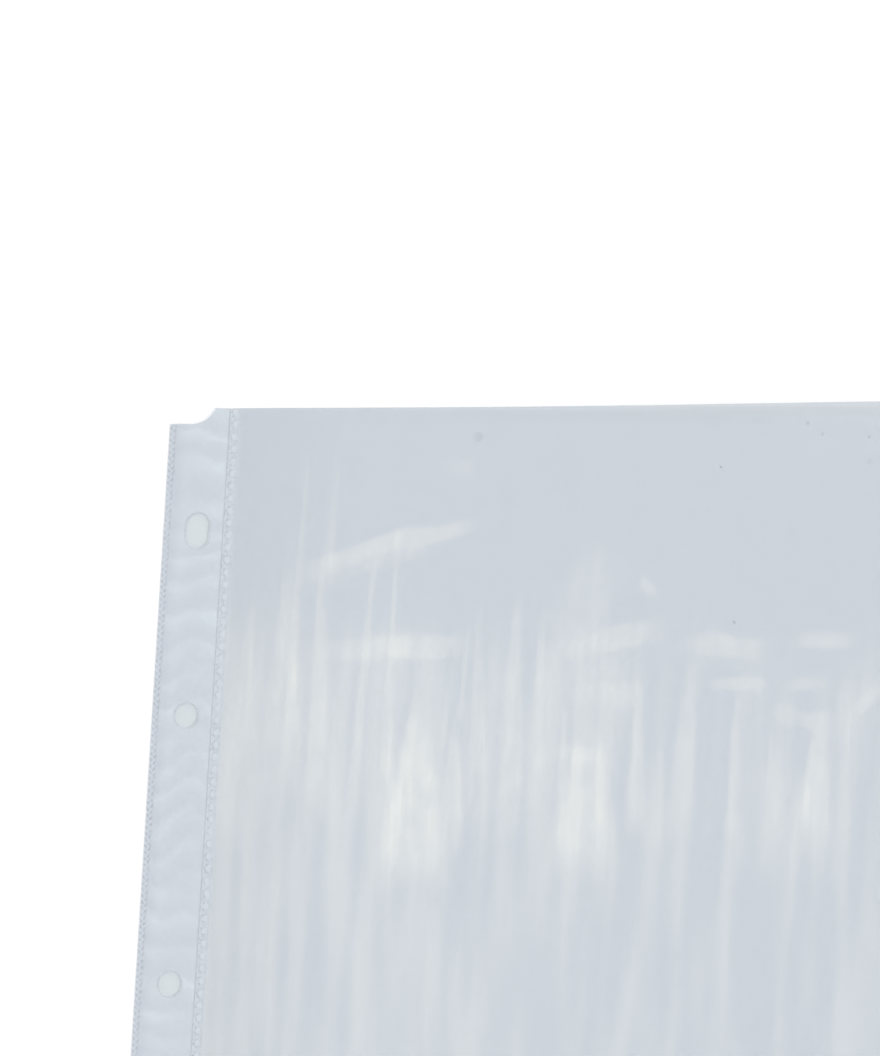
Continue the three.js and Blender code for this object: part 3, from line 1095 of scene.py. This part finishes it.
class POCKET_OT_pocket_films(bpy.types.Operator):
    """Makes the crowned and creased front film and finishes the back film"""

    bl_idname = "pocket.pocket_films"
    bl_label = "Pocket films"

    def execute(self, context):
        shape = context.scene.pocket_film
        finish = context.scene.pocket_finish
        clear = Surface(tint=finish.film_tint, haze_colour=finish.film_haze, haze=0.04, roughness=0.15)
        dress_node("back_film", film_material("back_film_clear", clear, finish.edge_shade_and_dust))
        # The front film's marks are painted highlight, standing in for the lamps' reflections on its creases
        # and ripples, and there it also lets more light through
        painted_sheen = clear._replace(
            mark_colour=finish.painted_sheen, mark_share=0.19, mark_stretch=(1, 0.035, 1), mark_scale=520,
            mark_mottle=(0.7, 1.25), mark_clears=True,
        )
        front = film_material("front_film_clear", painted_sheen, finish.edge_shade_and_dust, specks=SPECKS)
        piece = add_piece("front_film_sheet", front_film_mesh(shape), front, "front_film")
        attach(piece, "pocket")
        return {"FINISHED"}


def add_sun(name, towards, strength, angle):
    """A far soft lamp. towards is the direction from the object to it, angle its width"""
    lamp = bpy.data.lights.new(name, "SUN")
    lamp.energy = strength
    lamp.angle = angle
    piece = bpy.data.objects.new(name, lamp)
    piece.rotation_euler = Vector(towards).to_track_quat("Z", "Y").to_euler()
    bpy.context.scene.collection.objects.link(piece)


def add_window(name, place, width, depth, radiance):
    """A flat warm pane above the object, facing down, which glossy faces show and the camera doesn't"""
    lamp = bpy.data.lights.new(name, "AREA")
    lamp.shape = "RECTANGLE"
    lamp.size = width
    lamp.size_y = depth
    lamp.energy = radiance * math.pi * width * depth
    lamp.color = (1.0, 0.86, 0.62)
    piece = bpy.data.objects.new(name, lamp)
    piece.location = place
    piece.visible_camera = False
    piece.visible_diffuse = False
    bpy.context.scene.collection.objects.link(piece)


def set_sky(strength):
    """A white sky to look at, whose light on everything else has its own strength"""
    world = bpy.data.worlds.new("sky")
    bpy.context.scene.world = world
    tree = Tree(world)
    level = tree.spread(ray_is_seen(tree), 0, 1, strength, 1)
    sky = tree.add("ShaderNodeBackground", {"Color": (1, 1, 1, 1), "Strength": level}).outputs[0]
    tree.finish(sky, output="ShaderNodeOutputWorld")


def add_floor(name, low, high, z, seen_colour):
    """A flat sheet of the stage between two corners"""
    bm = bmesh.new()
    corners = ((low[0], low[1]), (high[0], low[1]), (high[0], high[1]), (low[0], high[1]))
    bm.faces.new([bm.verts.new((x, y, z)) for x, y in corners])
    floor = bpy.data.objects.new(name, finished_mesh(bm, name))
    floor.data.materials.append(floor_material(name, seen_colour))
    bpy.context.scene.collection.objects.link(floor)
    return floor


# The camera's turn in degrees, and how far from the seam and the mouth it looks
CAMERA_TURN = (9.56, 20.98, 3.53)
AIM_FROM_SEAM = 55.92 * MM
AIM_FROM_MOUTH = 29.12 * MM


class POCKET_OT_stage(bpy.types.Operator):
    """Sets up the white floor, the soft lamps and the camera"""

    bl_idname = "pocket.stage"
    bl_label = "Stage"

    def execute(self, context):
        stage = context.scene.pocket_stage
        half = stage.floor_size / 2
        floor_z = -0.1 * MM
        add_floor("floor", (-half, -half), (half, half), floor_z, FLOOR_SEEN)
        shade = add_floor(
            "floor_under_strip", (STRIP_LEFT, FOOT_Y), (SEAM_X, MOUTH_Y), floor_z / 2, stage.table_grey
        )
        cut_notches(shade, context.scene.pocket_strip)

        towards_key = (0.62, 0.35, 0.70)
        add_sun("key_lamp", towards_key, stage.key_strength, angle=math.radians(12))
        pane_x, pane_y, pane_z, pane_step = -1.20, 0.25, 1.40, 0.18
        for i in range(2):
            place = (pane_x + pane_step * i, pane_y, pane_z)
            add_window(f"side_window_{i}", place, width=0.085, depth=0.50, radiance=stage.window_strength)
        set_sky(stage.sky_strength)

        camera = bpy.data.objects.new("camera", bpy.data.cameras.new("camera"))
        turn = Euler([math.radians(angle) for angle in CAMERA_TURN], "XYZ")
        aim = Vector((SEAM_X + AIM_FROM_SEAM, MOUTH_Y - AIM_FROM_MOUTH, 0))
        camera.rotation_euler = turn
        camera.location = aim + turn.to_matrix() @ Vector((0, 0, stage.camera_distance))
        camera.data.lens = stage.lens
        context.scene.collection.objects.link(camera)
        context.scene.camera = camera
        context.scene.view_settings.view_transform = "Standard"
        context.scene.cycles.transparent_max_bounces = 32
        return {"FINISHED"}


OPERATORS = (
    POCKET_OT_binding_strip,
    POCKET_OT_edge_weld,
    POCKET_OT_seam_weld,
    POCKET_OT_pocket_films,
    POCKET_OT_stage,
)

SETTINGS = (
    ("pocket_film", PocketFilmShape),
    ("pocket_strip", StripShape),
    ("pocket_weld", WeldShape),
    ("pocket_finish", FilmFinish),
    ("pocket_stage", StageSettings),
)


class POCKET_PT_panel(bpy.types.Panel):
    """Lists the pocket's sizes, colours and steps"""

    bl_idname = "POCKET_PT_panel"
    bl_label = "Document pocket"
    bl_space_type = "VIEW_3D"
    bl_region_type = "UI"
    bl_category = "Pocket"

    def draw(self, context):
        for operator in OPERATORS:
            self.layout.operator(operator.bl_idname)
        for name, group in SETTINGS:
            column = self.layout.box().column()
            column.label(text=group.__doc__)
            for key in group.__annotations__:
                column.prop(getattr(context.scene, name), key)


def register():
    for name, group in SETTINGS:
        bpy.utils.register_class(group)
        setattr(bpy.types.Scene, name, PointerProperty(type=group))
    for operator in OPERATORS:
        bpy.utils.register_class(operator)
    bpy.utils.register_class(POCKET_PT_panel)


def unregister():
    bpy.utils.unregister_class(POCKET_PT_panel)
    for operator in reversed(OPERATORS):
        bpy.utils.unregister_class(operator)
    for name, group in reversed(SETTINGS):
        delattr(bpy.types.Scene, name)
        bpy.utils.unregister_class(group)


def main():
    register()
    bpy.ops.pocket.binding_strip()
    bpy.ops.pocket.edge_weld()
    bpy.ops.pocket.seam_weld()
    bpy.ops.pocket.pocket_films()
    bpy.ops.pocket.stage()


if __name__ == "__main__":
    main()
